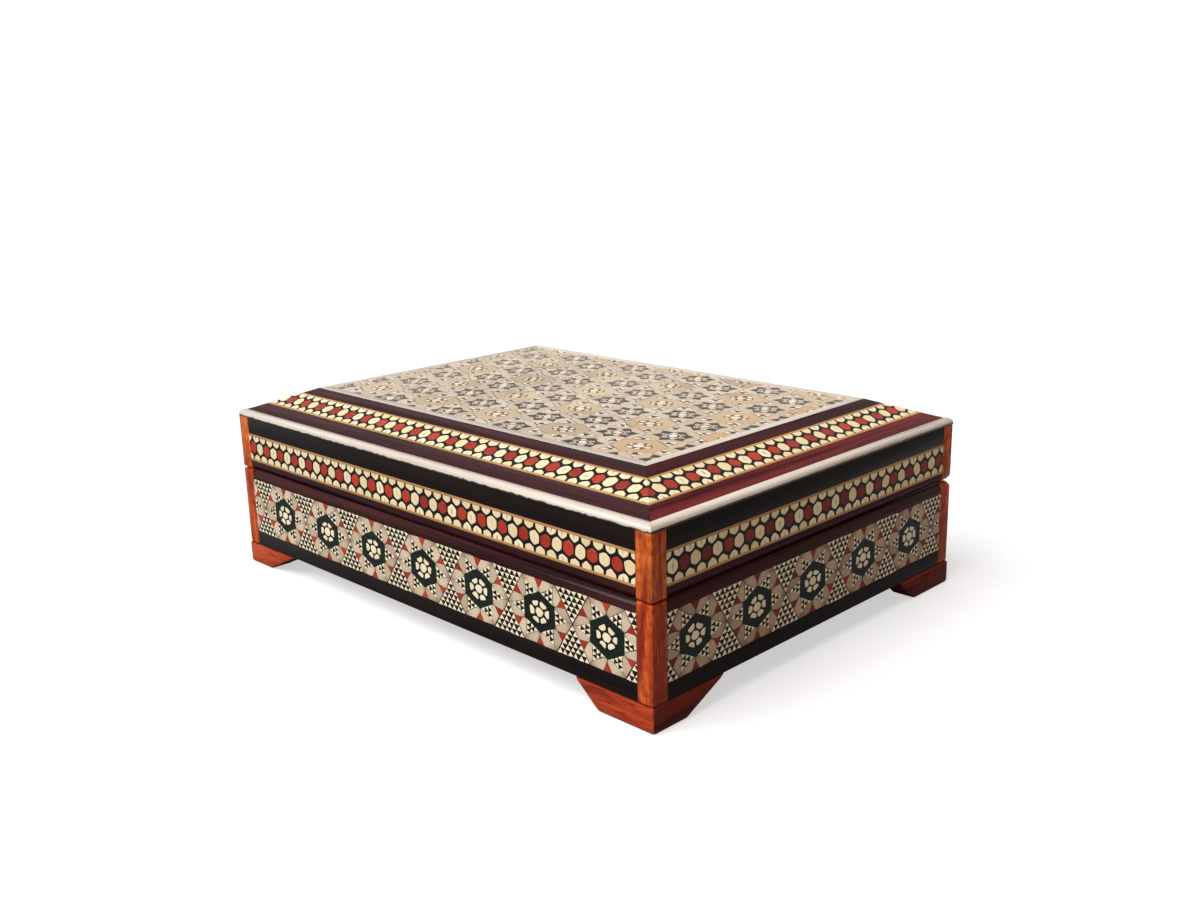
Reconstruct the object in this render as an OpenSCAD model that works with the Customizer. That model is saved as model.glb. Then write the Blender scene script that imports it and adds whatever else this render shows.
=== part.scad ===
// Inlaid wooden box with a hinged lid, in the style of Cairo and Damascus marquetry.
// A plain wooden carcass carries thin star and hexagon mosaics, coloured wood bands,
// pale stringing, solid corner posts and four bracket feet. The bevelled lid turns on
// two brass butt hinges at the back. Millimetres, +Z up, the front faces -Y, and the
// origin lies on the ground under the middle of the box.

/* [Box] */
// Width over the long faces, along X
box_w = 150; // [130:1:190]
// Depth over the short faces, along Y
box_d = 110; // [95:1:150]
// Thickness of the wooden carcass behind the mosaics
carcass_t = 6; // [5:0.5:8]
// Thickness of every mosaic, band and line
veneer_t = 1.2; // [0.8:0.1:1.6]
// Side of the square corner posts
post_w = 4.3; // [3.5:0.1:5.5]

/* [Base] */
// Height of the bracket feet
foot_h = 5.8; // [4:0.2:9]
// Height of the black band above the feet
base_band_h = 3.8; // [2.5:0.1:6]
// Height of the star mosaic
star_mosaic_h = 14.7; // [12:0.1:24]
// Height of the rosewood rim under the lid
base_rim_h = 2.6; // [2.4:0.1:4]
// Thickness of the floor board
floor_t = 4; // [3:0.5:6]

/* [Feet] */
// Length of a foot along each face, at its top
foot_top_l = 22.5; // [16:0.5:30]
// Length on the ground of each foot's longer arm
foot_long_l = 15.5; // [12:0.5:18]
// Length on the ground of its shorter arm
foot_short_l = 10; // [8:0.5:12]
// Thickness of the foot's two arms
foot_t = 6.5; // [4:0.5:7]
// How far a foot stands proud of the box
foot_proud = 0.35; // [0.25:0.05:1]

/* [Lid] */
// Clearance between the lid and the base
parting_gap = 0.3; // [0.2:0.05:0.4]
// Height of the rosewood rim at the lid's lower edge
lid_rim_h = 2.4; // [2.4:0.1:4]
// Height of the small hexagon mosaic
hex_mosaic_h = 6.2; // [5:0.1:8]
// Width of the light wooden lines beside the small mosaics
line_w = 0.6; // [0.4:0.1:1]
// Height of the black band above the lid's mosaic
lid_band_h = 4.3; // [3:0.1:6]
// Width of the white stringing along the lid's edge
edge_string_w = 1.8; // [1.4:0.1:2.5]
// Height of the white stringing along the lid's edge
edge_string_h = 1.7; // [1.5:0.1:2.4]
// Distance of the flat top from the side faces
bevel_inset = 15.7; // [13:0.1:20]
// Rise of the bevel from its lower edge to the flat top
bevel_rise = 5.3; // [3.5:0.1:8]
// Width of the rosewood band at the bevel's lower edge
bevel_lower_w = 4.1; // [3:0.1:5]
// Width of the white stringing round the top panel
top_string_w = 2.3; // [1.5:0.1:3]

/* [Hinges] */
// Distance of each hinge from the middle of the box
hinge_x = 48; // [30:1:50]
// Length of a hinge
hinge_l = 14; // [10:0.5:18]
// Radius of the hinge knuckles
knuckle_r = 1.2; // [1.1:0.05:1.25]
// Radius of the hinge pins
pin_r = 0.5; // [0.4:0.05:0.55]
// Thickness of the hinge leaves
leaf_t = 0.8; // [0.6:0.05:0.9]
// Distance of the hinge axis from the back face
axis_inset = 1; // [0.95:0.05:1.1]

/* [Lining] */
// Thickness of the velvet lining
lining_t = 1.2; // [0.8:0.1:2]

/* [Hidden] */
$fn = 48;

// Sides are numbered front, right, back, left, and so are the corners after them.
FRONT = 0;
RIGHT = 1;
BACK = 2;
LEFT = 3;
SIDES = [FRONT, RIGHT, BACK, LEFT];

// Heights, from the ground up.
base_mosaic_z = foot_h + base_band_h;
base_rim_z = base_mosaic_z + star_mosaic_h;
base_top_z = base_rim_z + base_rim_h;
axis_z = base_top_z + parting_gap / 2;
lid_z = base_top_z + parting_gap;
lid_wall_z = lid_z + lid_rim_h;
lid_mosaic_z = lid_wall_z + line_w;
upper_line_z = lid_mosaic_z + hex_mosaic_h;
lid_band_z = upper_line_z + line_w;
lid_deck_z = lid_band_z + lid_band_h;
bevel_z = lid_deck_z + edge_string_h;
top_z = bevel_z + bevel_rise;

// The wall is the veneer and the carcass together.
wall_t = veneer_t + carcass_t;
room_w = box_w - 2 * wall_t;
room_d = box_d - 2 * wall_t;

// The bevel's slope, and the widths of the strips across it.
bevel_run = bevel_inset - edge_string_w;
bevel_angle = atan2(bevel_rise, bevel_run);
bevel_l = norm([bevel_run, bevel_rise]);
lower_line_s = bevel_lower_w;
bevel_mosaic_s = lower_line_s + line_w;
upper_line_s = bevel_mosaic_s + hex_mosaic_h;
bevel_upper_s = upper_line_s + line_w;

// The parting groove's faces slope from the hinge axis outward, so that the lid's
// rear edge lies down into it as the lid opens.
groove_angle = 50;
// The front posts keep their square look: they have only a shallow nick there.
post_nick = 0.4;

// Running clearance of the hinge knuckles, and play in the lid's knuckle.
knuckle_recess = 0.25;
knuckle_gap = 0.2;
pin_play = 0.05;

leaf_reach = 5.2;
screw_r = 0.45;
screw_head_r = 1;
screw_head_h = 0.5;
screw_l = 3.5;
screw_x = hinge_l / 3;
screw_inset = axis_inset + 3.4;
slot_w = 0.28;
slot_depth = 0.2;

// Hairline between two mitred pieces, so that each stays a piece of its own.
joint_gap = 0.02;

// Half the length of a side, and its distance from the middle.
function half_l(side) = (side == FRONT || side == BACK ? box_w : box_d) / 2;
function half_out(side) = (side == FRONT || side == BACK ? box_d : box_w) / 2;

// A section in [inset, height] run along the whole of one side.
module along(side, section) {
    rotate([0, 0, 90 * side])
        translate([-half_l(side), -half_out(side), 0])
            rotate([90, 0, 90])
                linear_extrude(2 * half_l(side))
                    polygon(section);
}

// The share of the plan that belongs to one side: mitred at the corners, and notched
// round the corner posts where notch is their width.
module mitre(side, notch) {
    reach = bevel_inset + top_string_w + 2;
    l = half_l(side) - joint_gap;
    out = half_out(side);
    outline = notch > 0
        ? [
            [-l + notch, -out + notch],
            [-l + notch, -out - 1],
            [l - notch, -out - 1],
            [l - notch, -out + notch],
        ]
        : [[-l - 1, -out - 1], [l + 1, -out - 1]];
    rotate([0, 0, 90 * side])
        linear_extrude(top_z + 1)
            polygon(concat(outline, [
                [l - reach, -out + reach],
                [-l + reach, -out + reach],
            ]));
}

module mitred(side, section, notch = 0) {
    intersection() {
        along(side, section);
        mitre(side, notch);
    }
}

function rectangle(inset, z, w, h) =
    [[inset, z], [inset + w, z], [inset + w, z + h], [inset, z + h]];

// A strip of the bevel between two distances up the slope.
function bevel_point(s, depth) = [
    edge_string_w + s * cos(bevel_angle) + depth * sin(bevel_angle),
    bevel_z + s * sin(bevel_angle) - depth * cos(bevel_angle),
];
function bevel_strip(s0, s1) = [
    bevel_point(s0, veneer_t),
    bevel_point(s1, veneer_t),
    bevel_point(s1, 0),
    bevel_point(s0, 0),
];

// A veneer strip that lies between two corner posts.
module face_strip(side, z, h) {
    l = half_l(side) - post_w;
    rotate([0, 0, 90 * side])
        translate([-l, -half_out(side), z])
            cube([2 * l, veneer_t, h]);
}

// The corner at the right-hand end of a side, as seen from outside it.
module corner_square(corner, z, h) {
    rotate([0, 0, 90 * corner])
        translate([half_l(corner) - post_w, -half_out(corner), z])
            cube([post_w, post_w, h]);
}

module parting_groove(depth = axis_inset) {
    rise = (depth + 1) * tan(groove_angle);
    for (side = SIDES)
        along(side, [
            [depth, axis_z],
            [-1, axis_z + rise],
            [-1, axis_z - rise],
        ]);
}

// Carcass, rims and posts -------------------------------------------------------

module wall(side, z, h) {
    color("burlywood")
        difference() {
            mitred(side, rectangle(veneer_t, z, carcass_t, h), post_w);
            if (side == BACK) hinge_screws_all();
        }
}

module rim(side, z, h) {
    color("#55292c")
        difference() {
            mitred(side, rectangle(0, z, wall_t, h), post_w);
            parting_groove();
            if (side == BACK) {
                hinge_mortises();
                hinge_screws_all();
            }
        }
}

module post(corner, z, h) {
    at_hinge = corner == RIGHT || corner == BACK;
    color("#c8692f")
        difference() {
            corner_square(corner, z, h);
            parting_groove(at_hinge ? axis_inset : post_nick);
        }
}

module base_wall(side) wall(side, foot_h, base_rim_z - foot_h);
module lid_wall(side) wall(side, lid_wall_z, lid_deck_z - lid_wall_z);
module base_rim(side) rim(side, base_rim_z, base_rim_h);
module lid_rim(side) rim(side, lid_z, lid_rim_h);
module base_post(corner) post(corner, foot_h, base_top_z - foot_h);
module lid_post(corner) post(corner, lid_z, lid_deck_z - lid_z);

module base_floor() {
    color("tan")
        translate([-room_w / 2, -room_d / 2, foot_h])
            cube([room_w, room_d, floor_t]);
}

// A bracket foot: two arms with slanted ends that meet under a corner post. The ends are
// cut by hand, one arm of each foot a good deal longer on the ground than the other.
module foot_arm(bottom_l) {
    rotate([90, 0, 0])
        translate([0, 0, -foot_t])
            linear_extrude(foot_t)
                polygon([
                    [0, 0],
                    [0, foot_h],
                    [-foot_top_l, foot_h],
                    [-bottom_l, 0],
                ]);
}

module foot(corner) {
    color("#b5482a")
        rotate([0, 0, 90 * corner])
            translate([half_l(corner) + foot_proud, -half_out(corner) - foot_proud, 0]) {
                foot_arm(foot_long_l);
                mirror([1, 1, 0]) foot_arm(foot_short_l);
            }
}

// Mosaics, bands, lines and stringing ---------------------------------------------

module base_bottom_bands() {
    color("#241d1f")
        for (side = SIDES)
            face_strip(side, foot_h, base_band_h);
}

module base_mosaic(side) {
    color("#cdb793") face_strip(side, base_mosaic_z, star_mosaic_h);
}

module lid_mosaic(side) {
    color("#a05a44") face_strip(side, lid_mosaic_z, hex_mosaic_h);
}

module lid_side_lines() {
    color("#c8a06e")
        for (side = SIDES) {
            face_strip(side, lid_wall_z, line_w);
            face_strip(side, upper_line_z, line_w);
        }
}

module lid_black_bands() {
    color("#241d1f")
        for (side = SIDES)
            face_strip(side, lid_band_z, lid_band_h);
}

module lid_edge_stringing() {
    round_r = edge_string_h - 0.4;
    arc = [
        for (a = [180:-15:90])
            [round_r + round_r * cos(a), bevel_z - round_r + round_r * sin(a)]
    ];
    color("#ece6dc")
        for (side = SIDES)
            mitred(side, concat(
                [[edge_string_w, lid_deck_z], [0, lid_deck_z]],
                arc,
                [[edge_string_w, bevel_z]]
            ));
}

module lid_bevel_rails() {
    color("burlywood")
        for (side = SIDES)
            mitred(side, [
                [edge_string_w, lid_deck_z],
                [bevel_inset, lid_deck_z],
                [bevel_inset, top_z - veneer_t / cos(bevel_angle)],
                [edge_string_w, bevel_z - veneer_t / cos(bevel_angle)],
            ]);
}

module bevel_strips(tint, s0, s1) {
    color(tint)
        for (side = SIDES)
            intersection() {
                mitred(side, bevel_strip(s0, s1));
                along(side, rectangle(
                    edge_string_w, lid_deck_z, bevel_run, top_z - lid_deck_z
                ));
            }
}

module lid_bevel_lower_bands() bevel_strips("#55292c", -1, bevel_lower_w);
module lid_bevel_mosaics() bevel_strips("#a05a44", bevel_mosaic_s, upper_line_s);
module lid_bevel_upper_bands() bevel_strips("#3f272a", bevel_upper_s, bevel_l + 1);
module lid_bevel_lines() {
    bevel_strips("#c8a06e", lower_line_s, bevel_mosaic_s);
    bevel_strips("#c8a06e", upper_line_s, bevel_upper_s);
}

module lid_top_board() {
    w = box_w - 2 * bevel_inset;
    d = box_d - 2 * bevel_inset;
    color("burlywood")
        translate([-w / 2, -d / 2, lid_deck_z])
            cube([w, d, top_z - veneer_t - lid_deck_z]);
}

module lid_top_stringing() {
    color("#ece6dc")
        for (side = SIDES)
            mitred(side, rectangle(bevel_inset, top_z - veneer_t, top_string_w, veneer_t));
}

module lid_top_mosaic() {
    inset = bevel_inset + top_string_w;
    w = box_w - 2 * inset;
    d = box_d - 2 * inset;
    color("#d6c6ae")
        translate([-w / 2, -d / 2, top_z - veneer_t])
            cube([w, d, veneer_t]);
}

// Velvet lining ---------------------------------------------------------------------

module lining_board(z) {
    color("#8c1c26")
        translate([-room_w / 2, -room_d / 2, z])
            cube([room_w, room_d, lining_t]);
}

module lining_ring(z, h) {
    color("#8c1c26")
        difference() {
            translate([-room_w / 2, -room_d / 2, z])
                cube([room_w, room_d, h]);
            translate([-room_w / 2 + lining_t, -room_d / 2 + lining_t, z - 1])
                cube([room_w - 2 * lining_t, room_d - 2 * lining_t, h + 2]);
        }
}

lining_floor_z = foot_h + floor_t;
lining_side_z = lining_floor_z + lining_t;
lining_margin = 0.6;

module base_lining_floor() lining_board(lining_floor_z);
module base_lining_sides() {
    lining_ring(lining_side_z, base_top_z - lining_margin - lining_side_z);
}
module lid_lining_top() lining_board(lid_deck_z - lining_t);
module lid_lining_sides() {
    lining_ring(lid_z + lining_margin, lid_deck_z - lining_t - lid_z - lining_margin);
}

// Hinges ------------------------------------------------------------------------------

HINGE_PLACES = [-hinge_x, hinge_x];
outer_knuckle_l = (hinge_l - 2 * knuckle_gap) * 0.3;
middle_knuckle_l = hinge_l - 2 * knuckle_gap - 2 * outer_knuckle_l;
BASE_KNUCKLES = [
    [-hinge_l / 2, outer_knuckle_l],
    [hinge_l / 2 - outer_knuckle_l, outer_knuckle_l],
];
LID_KNUCKLES = [[-middle_knuckle_l / 2, middle_knuckle_l]];

// Moves its children to the axis of the hinge at x, with the wood in front at -Y.
module at_axis(x) {
    translate([x, box_d / 2 - axis_inset, axis_z]) children();
}

module rod(x, l, r) {
    translate([x, 0, 0])
        rotate([0, 90, 0])
            cylinder(r = r, h = l);
}

// One leaf with its knuckles. up is -1 for the base's leaf and 1 for the lid's.
module leaf(x, up, knuckles, bore_r) {
    face_z = up * parting_gap / 2;
    low_z = min(face_z, face_z + up * leaf_t);
    clear_r = knuckle_r + knuckle_recess;
    color("#c9a24d")
        difference() {
            at_axis(x) {
                difference() {
                    union() {
                        translate([-hinge_l / 2, -leaf_reach, low_z])
                            cube([hinge_l, leaf_reach - clear_r, leaf_t]);
                        for (k = knuckles) {
                            translate([k[0], -clear_r - 0.1, low_z])
                                cube([k[1], clear_r + 0.1, leaf_t]);
                            rod(k[0], k[1], knuckle_r);
                        }
                    }
                    rod(-hinge_l, 2 * hinge_l, bore_r);
                }
            }
            hinge_screws(x, up, 0);
        }
}

// The room that a hinge takes in the two rims: its leaves and the round of its knuckles.
module hinge_mortises() {
    for (x = HINGE_PLACES)
        at_axis(x) {
            translate([-hinge_l / 2, -leaf_reach, -parting_gap / 2 - leaf_t])
                cube([hinge_l, leaf_reach, 2 * leaf_t + parting_gap]);
            rod(-hinge_l / 2 - knuckle_gap, hinge_l + 2 * knuckle_gap, knuckle_r + knuckle_recess);
        }
}

module screw(slot) {
    difference() {
        union() {
            translate([0, 0, -screw_head_h])
                cylinder(r1 = screw_r, r2 = screw_head_r, h = screw_head_h);
            translate([0, 0, -screw_l])
                cylinder(r = screw_r, h = screw_l - screw_head_h);
        }
        translate([-screw_head_r, -slot_w / 2, -slot])
            cube([2 * screw_head_r, slot_w, slot + 1]);
    }
}

// The two countersunk screws of one leaf. up is -1 for the base's leaf.
module hinge_screws(x, up, slot) {
    for (dx = [-screw_x, screw_x])
        translate([x + dx, box_d / 2 - screw_inset, axis_z + up * parting_gap / 2])
            mirror([0, 0, (up + 1) / 2])
                screw(slot);
}

module hinge_screws_all() {
    for (x = HINGE_PLACES)
        for (up = [-1, 1])
            hinge_screws(x, up, 0);
}

module hinge_base_screws() {
    color("#b08d42")
        for (x = HINGE_PLACES)
            hinge_screws(x, -1, slot_depth);
}

module hinge_lid_screws() {
    color("#b08d42")
        for (x = HINGE_PLACES)
            hinge_screws(x, 1, slot_depth);
}

module hinge_pins() {
    color("silver")
        for (x = HINGE_PLACES)
            at_axis(x) rod(-hinge_l / 2, hinge_l, pin_r);
}

module hinge_base_leaf(x) leaf(x, -1, BASE_KNUCKLES, pin_r);
module hinge_lid_leaf(x) leaf(x, 1, LID_KNUCKLES, pin_r + pin_play);

// Nodes -------------------------------------------------------------------------------

base_floor();
base_wall(FRONT);  // base_wall_front
base_wall(RIGHT);  // base_wall_right
base_wall(BACK);  // base_wall_back
base_wall(LEFT);  // base_wall_left
base_post(FRONT);  // base_post_front_right
base_post(RIGHT);  // base_post_back_right
base_post(BACK);  // base_post_back_left
base_post(LEFT);  // base_post_front_left
base_rim(FRONT);  // base_rim_front
base_rim(RIGHT);  // base_rim_right
base_rim(BACK);  // base_rim_back
base_rim(LEFT);  // base_rim_left
base_bottom_bands();
base_mosaic(FRONT);  // base_mosaic_front
base_mosaic(RIGHT);  // base_mosaic_right
base_mosaic(BACK);  // base_mosaic_back
base_mosaic(LEFT);  // base_mosaic_left
foot(FRONT);  // foot_front_right
foot(RIGHT);  // foot_back_right
foot(BACK);  // foot_back_left
foot(LEFT);  // foot_front_left
base_lining_floor();
base_lining_sides();
hinge_base_leaf(-hinge_x);  // hinge_left_base_leaf
hinge_base_leaf(hinge_x);  // hinge_right_base_leaf
hinge_pins();
hinge_base_screws();
lid_wall(FRONT);  // lid_wall_front
lid_wall(RIGHT);  // lid_wall_right
lid_wall(BACK);  // lid_wall_back
lid_wall(LEFT);  // lid_wall_left
lid_post(FRONT);  // lid_post_front_right
lid_post(RIGHT);  // lid_post_back_right
lid_post(BACK);  // lid_post_back_left
lid_post(LEFT);  // lid_post_front_left
lid_rim(FRONT);  // lid_rim_front
lid_rim(RIGHT);  // lid_rim_right
lid_rim(BACK);  // lid_rim_back
lid_rim(LEFT);  // lid_rim_left
lid_side_lines();
lid_mosaic(FRONT);  // lid_mosaic_front
lid_mosaic(RIGHT);  // lid_mosaic_right
lid_mosaic(BACK);  // lid_mosaic_back
lid_mosaic(LEFT);  // lid_mosaic_left
lid_black_bands();
lid_edge_stringing();
lid_bevel_rails();
lid_bevel_lower_bands();
lid_bevel_mosaics();
lid_bevel_lines();
lid_bevel_upper_bands();
lid_top_board();
lid_top_stringing();
lid_top_mosaic();
lid_lining_top();
lid_lining_sides();
hinge_lid_leaf(-hinge_x);  // hinge_left_lid_leaf
hinge_lid_leaf(hinge_x);  // hinge_right_lid_leaf
hinge_lid_screws();
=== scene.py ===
import math

import bmesh
import bpy
from mathutils import Matrix, Vector
from mathutils.geometry import delaunay_2d_cdt


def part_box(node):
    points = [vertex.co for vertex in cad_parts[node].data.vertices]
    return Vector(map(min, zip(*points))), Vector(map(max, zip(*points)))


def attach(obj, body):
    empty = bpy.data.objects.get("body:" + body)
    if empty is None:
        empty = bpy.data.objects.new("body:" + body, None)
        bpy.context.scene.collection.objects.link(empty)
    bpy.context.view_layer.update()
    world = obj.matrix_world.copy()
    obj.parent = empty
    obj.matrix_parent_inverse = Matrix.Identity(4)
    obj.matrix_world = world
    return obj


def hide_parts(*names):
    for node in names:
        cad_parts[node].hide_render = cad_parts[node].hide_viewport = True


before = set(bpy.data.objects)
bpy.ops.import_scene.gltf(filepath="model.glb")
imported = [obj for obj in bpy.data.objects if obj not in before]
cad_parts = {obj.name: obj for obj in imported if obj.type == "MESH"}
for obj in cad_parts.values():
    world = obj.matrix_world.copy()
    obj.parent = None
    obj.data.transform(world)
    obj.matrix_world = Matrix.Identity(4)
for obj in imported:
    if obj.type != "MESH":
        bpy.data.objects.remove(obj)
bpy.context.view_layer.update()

# Camera, floor and light --------------------
# The box stands on a plain white table in a bright studio. The camera looks at the
# front-right corner from a little above the lid, close by.


def new_object(name, data):
    """A new object in the scene."""
    made = bpy.data.objects.new(name, data)
    bpy.context.scene.collection.objects.link(made)
    return made


camera_data = bpy.data.cameras.new("camera")
camera = new_object("camera", camera_data)
bpy.context.scene.camera = camera
camera_data.sensor_width = 36
camera_data.lens = 37.38
camera_data.clip_start = 0.01
camera_turn = math.radians(45.15)
camera_rise = math.radians(15.1)
camera_roll = math.radians(-1.41)
camera.matrix_world = (
    Matrix.Translation(Vector((0.2243, -0.2164, 0.1171)))
    @ Matrix.Rotation(camera_turn, 4, "Z")
    @ Matrix.Rotation(math.pi / 2 - camera_rise, 4, "X")
    @ Matrix.Rotation(camera_roll, 4, "Z")
)

floor_mesh = bpy.data.meshes.new("floor")
floor_mesh.from_pydata(
    [(x, y, 0) for x, y in ((-4, -4), (4, -4), (4, 4), (-4, 4))], [], [(0, 1, 2, 3)]
)
floor = new_object("floor", floor_mesh)


def fill(tree, made, inputs):
    """Links or sets the inputs of a node."""
    for key, value in inputs.items():
        if isinstance(value, bpy.types.NodeSocket):
            tree.links.new(value, made.inputs[key])
        else:
            made.inputs[key].default_value = value


def node(tree, kind, inputs=(), **settings):
    """A shader or geometry node with its settings and its inputs' links or values."""
    made = tree.nodes.new(kind)
    for key, value in settings.items():
        setattr(made, key, value)
    fill(tree, made, dict(inputs))
    return made


def calculated(tree, operation, *values):
    """The number that a maths node makes of its inputs."""
    return node(tree, "ShaderNodeMath", dict(enumerate(values)), operation=operation).outputs[0]


def ramp(tree, value, low, high, start=0.0, stop=1.0):
    """A number that goes from start to stop while the given one goes from low to high."""
    inputs = {0: value, 1: low, 2: high, 3: start, 4: stop}
    return node(tree, "ShaderNodeMapRange", inputs).outputs[0]


def blend(tree, mask, under, over):
    """The colour under where a mask is black, and the colour over where it is white."""
    pair = [c if isinstance(c, bpy.types.NodeSocket) else (*c, 1) for c in (under, over)]
    inputs = {0: mask, 6: pair[0], 7: pair[1]}
    return node(tree, "ShaderNodeMix", inputs, data_type="RGBA").outputs[2]


def new_surface(name):
    """A new material with its node tree and its surface shader."""
    material = bpy.data.materials.new(name)
    material.use_nodes = True
    return material, material.node_tree, material.node_tree.nodes["Principled BSDF"]


# The table and the room look brighter to the camera than they light the box.
table_white, table_tree, table_shader = new_surface("white_table")
seen_directly = table_tree.nodes.new("ShaderNodeLightPath").outputs["Is Camera Ray"]
fill(table_tree, table_shader, {
    "Roughness": 0.8,
    "Specular IOR Level": 0.1,
    "Emission Color": (1, 1, 1, 1),
    "Emission Strength": calculated(table_tree, "MULTIPLY", seen_directly, 0.56),
    "Base Color": blend(table_tree, seen_directly, (0.27, 0.268, 0.27), (0.43, 0.428, 0.43)),
})
floor_mesh.materials.append(table_white)

world = bpy.data.worlds.new("studio")
bpy.context.scene.world = world
world.use_nodes = True
sky_tree = world.node_tree
sky = sky_tree.nodes["Background"]
sky_place = sky_tree.nodes.new("ShaderNodeTexCoord").outputs["Generated"]
sky_right = node(sky_tree, "ShaderNodeSeparateXYZ", {0: sky_place}).outputs["X"]
sky_seen = sky_tree.nodes.new("ShaderNodeLightPath").outputs["Is Camera Ray"]
SKY_NEUTRAL, SKY_WARM = (1, 0.985, 0.965), (0.70, 0.51, 0.37)
fill(sky_tree, sky, {
    "Color": blend(sky_tree, ramp(sky_tree, sky_right, -0.2, 0.6), SKY_NEUTRAL, SKY_WARM),
    "Strength": ramp(sky_tree, sky_seen, 0.0, 1.0, 0.48, 1.6),
})

key_data = bpy.data.lights.new("key", "SUN")
key_data.energy = 3.6
key_data.color = (0.985, 0.985, 1)
key_data.angle = math.radians(45)
key = new_object("key", key_data)
key.matrix_world = Vector((0.15, 0.80, -1.05)).to_track_quat("-Z", "Y").to_matrix().to_4x4()
bpy.context.scene.view_settings.view_transform = "Standard"

# Carcass --------------------
# The walls, floor, lid board and the rails under the bevel are plain beech, glued at
# mitred corners. They show only under the box and at the edges of the lining.


def socket(group, name, kind, default=None, output=False):
    """A named input or output of a node group."""
    made = group.interface.new_socket(
        name=name, in_out="OUTPUT" if output else "INPUT", socket_type=kind
    )
    if default is not None:
        made.default_value = default
    return made


def give_out(group, **values):
    """Makes a group's outputs and links a value to each."""
    for name in values:
        socket(group, name, "NodeSocketFloat", output=True)
    fill(group, group.nodes.new("NodeGroupOutput"), values)


def cloud(tree, place, scale, detail=2.0, **more):
    """Soft noise at a place."""
    inputs = {"Vector": place, "Scale": scale, "Detail": detail, **more}
    return node(tree, "ShaderNodeTexNoise", inputs).outputs[0]


def vectors(tree, operation, *values):
    """What a vector maths node makes of its inputs: a vector, or a number where that is due."""
    made = node(tree, "ShaderNodeVectorMath", dict(enumerate(values)), operation=operation)
    return made.outputs["Value" if operation in ("DISTANCE", "DOT_PRODUCT") else "Vector"]


def grain_group():
    """Wood grain along local X: masks of growth bands, of fine pores and of darker blotches,
    and a height."""
    group = bpy.data.node_groups.new("wood_grain", "ShaderNodeTree")
    socket(group, "Vector", "NodeSocketVector")
    socket(group, "Band Scale", "NodeSocketFloat", 300.0)
    socket(group, "Stretch", "NodeSocketFloat", 0.06)
    into = group.nodes.new("NodeGroupInput").outputs
    stretch = node(group, "ShaderNodeCombineXYZ", {0: into["Stretch"], 1: 1.0, 2: 1.0})
    along = vectors(group, "MULTIPLY", into["Vector"], stretch.outputs[0])
    band_noise = cloud(group, along, into["Band Scale"], 5.0, Roughness=0.65, Distortion=0.6)
    pore_noise = cloud(group, along, calculated(group, "MULTIPLY", into["Band Scale"], 9.0))
    blotch_noise = cloud(group, into["Vector"], into["Band Scale"])
    bands = ramp(group, band_noise, 0.36, 0.64)
    pores = ramp(group, pore_noise, 0.56, 0.70)
    give_out(
        group,
        Bands=bands,
        Pores=pores,
        Height=calculated(group, "SUBTRACT", bands, pores),
        Mottle=ramp(group, blotch_noise, 0.44, 0.66),
    )
    return group


grain = grain_group()


def object_place(tree):
    """Object coordinates."""
    return tree.nodes.new("ShaderNodeTexCoord").outputs["Object"]


def grain_space(tree, axis):
    """Object coordinates turned so that the grain runs along the given axis."""
    turn = {"X": (0, 0, 0), "Y": (0, 0, math.pi / 2), "Z": (0, math.pi / 2, 0)}[axis]
    inputs = {"Vector": object_place(tree), "Rotation": turn, "Location": (0.013, 0.029, 0.017)}
    return node(tree, "ShaderNodeMapping", inputs).outputs[0]


def laid_over(tree, under, over, mask, most):
    """A colour laid over another where a mask is white, at most by the share given."""
    return blend(tree, calculated(tree, "MULTIPLY", mask, most), under, over)


def wood(
    name, dark, light, axis="X", band_scale=300.0, stretch=0.06, pore_depth=0.35, lacquer=1.0,
    mottle=0.0,
):
    """A lacquered wood: dark and light grain colours, pores, blotches, and a clear coat."""
    material, tree, shader = new_surface(name)
    inputs = {"Vector": grain_space(tree, axis), "Band Scale": band_scale, "Stretch": stretch}
    figure = node(tree, "ShaderNodeGroup", inputs, node_tree=grain).outputs
    colour = blend(tree, figure["Bands"], dark, light)
    colour = laid_over(tree, colour, dark, figure["Mottle"], mottle)
    colour = laid_over(tree, colour, [c * 0.25 for c in dark], figure["Pores"], pore_depth)
    relief = {"Height": figure["Height"], "Strength": 0.15, "Distance": 0.00005}
    fill(tree, shader, {
        "Base Color": colour,
        "Normal": node(tree, "ShaderNodeBump", relief).outputs[0],
        "Roughness": 0.5,
        "Specular IOR Level": 0.0 if lacquer > 0 else 0.3,
        "Coat Weight": lacquer,
        "Coat Roughness": 0.12,
        "Coat IOR": 1.33,
    })
    return material


def wood_pair(name, dark, light, **settings):
    """The same wood twice: with its grain along X, and along Y."""
    return [wood(f"{name}_along_{axis.lower()}", dark, light, axis, **settings) for axis in "XY"]


beech = wood("beech", (0.50, 0.33, 0.17), (0.66, 0.47, 0.27), lacquer=0.0)


def finish_node(name, material):
    """Gives a material to a piece that is kept as the CAD model has it."""
    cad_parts[name].data.materials.clear()
    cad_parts[name].data.materials.append(material)


def new_piece(name, mesh, body, old_node):
    """A visual piece on a body, in the place of a CAD node."""
    piece = new_object(name, mesh)
    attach(piece, body)
    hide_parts(old_node)
    return piece


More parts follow.
